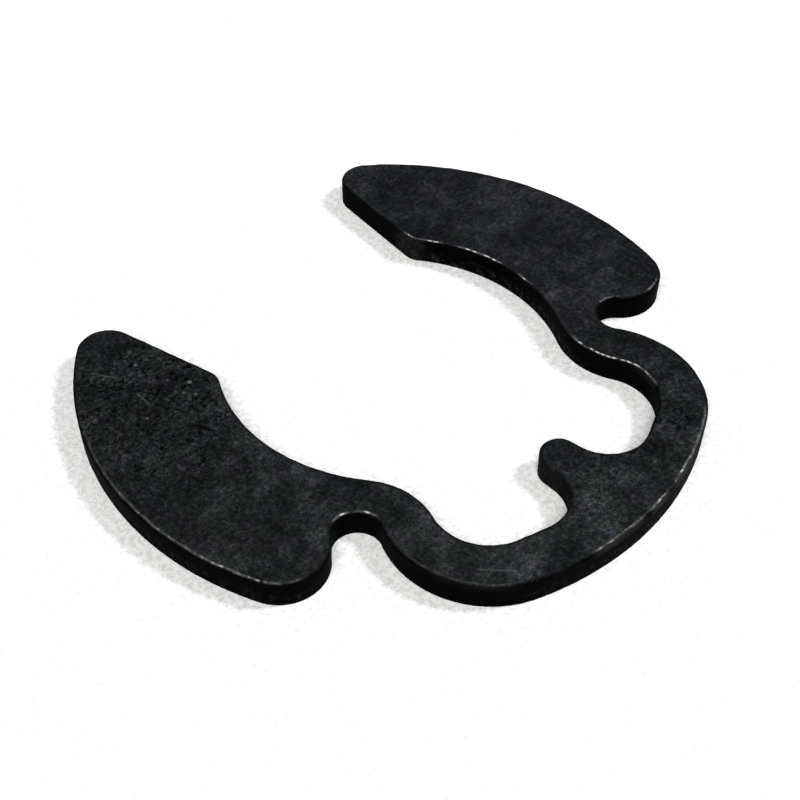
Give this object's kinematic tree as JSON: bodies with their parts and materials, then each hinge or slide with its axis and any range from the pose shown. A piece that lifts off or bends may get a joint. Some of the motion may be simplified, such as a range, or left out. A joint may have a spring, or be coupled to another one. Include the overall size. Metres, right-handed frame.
{
  "type": "retaining ring",
  "caption": "Flat E-type retaining ring of dark spring steel: broad lobes, notched spring arms and a central prong grip a shaft's groove from the side.",
  "frame": {"origin": "on the axis of the shaft seat, at the ring's lower face", "axes": "+Z along the shaft, up through the sheet; the mouth faces -Y; X runs from lobe to lobe"},
  "size_m": [0.045, 0.0397, 0.002],
  "materials": {
    "dark_spring_steel": "matte black conversion coating on spring steel, speckled, worn bright along the upper edges"
  },
  "bodies": {
    "root": {"retaining_ring": "dark_spring_steel"}
  },
  "joints": []
}
